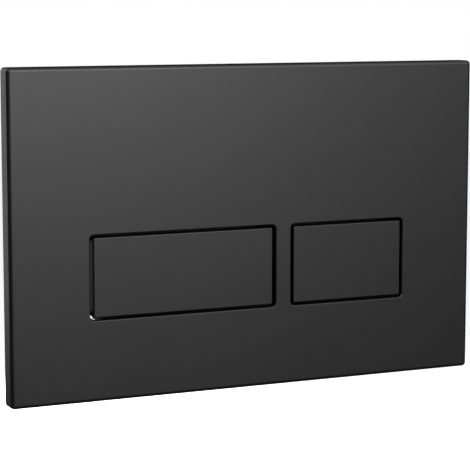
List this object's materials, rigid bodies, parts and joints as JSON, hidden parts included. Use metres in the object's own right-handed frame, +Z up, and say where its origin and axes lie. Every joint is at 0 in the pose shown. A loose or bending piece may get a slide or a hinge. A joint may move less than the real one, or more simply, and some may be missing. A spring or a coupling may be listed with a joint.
{
  "type": "dual flush button plate",
  "caption": "Flat rectangular black brushed cover plate for a concealed cistern, with a wide and a narrow push button flush with its face, and the carrier, push rods and wall frame behind.",
  "frame": {"origin": "middle of the plate on the wall plane, where the back of the rim and of the mounting frame meet the wall", "axes": "X to the right as the user sees the plate, Y into the wall, Z up"},
  "size_m": [0.25, 0.071, 0.16],
  "materials": {
    "brushed_black": "satin",
    "black_plastic": "matte",
    "grey_plastic": "matte",
    "natural_plastic": "satin",
    "spring_steel": "polished",
    "zinc_steel": "satin"
  },
  "bodies": {
    "plate": {"cover_plate": "brushed_black", "button_carrier": "black_plastic", "carrier_screws": "zinc_steel", "mounting_frame": "grey_plastic", "full_flush_spring": "spring_steel", "half_flush_spring": "spring_steel", "fixing_stud_left": "zinc_steel", "fixing_stud_right": "zinc_steel", "fixing_washer_left": "zinc_steel", "fixing_washer_right": "zinc_steel", "fixing_nut_left": "zinc_steel", "fixing_nut_right": "zinc_steel"},
    "full_flush": {"full_flush_button": "brushed_black", "full_flush_slider": "natural_plastic", "full_flush_push_rod": "natural_plastic", "full_flush_lock_nut": "zinc_steel"},
    "half_flush": {"half_flush_button": "brushed_black", "half_flush_slider": "natural_plastic", "half_flush_push_rod": "natural_plastic", "half_flush_lock_nut": "zinc_steel"}
  },
  "joints": [
    {"name": "full_flush_press", "type": "slide", "parent": "plate", "child": "full_flush", "axis": [0, 1, 0], "range_m": [0, 0.0055], "stiffness_N_per_m": 500, "springref_m": -0.004, "deforming": ["full_flush_spring"]},
    {"name": "half_flush_press", "type": "slide", "parent": "plate", "child": "half_flush", "axis": [0, 1, 0], "range_m": [0, 0.0055], "stiffness_N_per_m": 500, "springref_m": -0.004, "deforming": ["half_flush_spring"]}
  ]
}
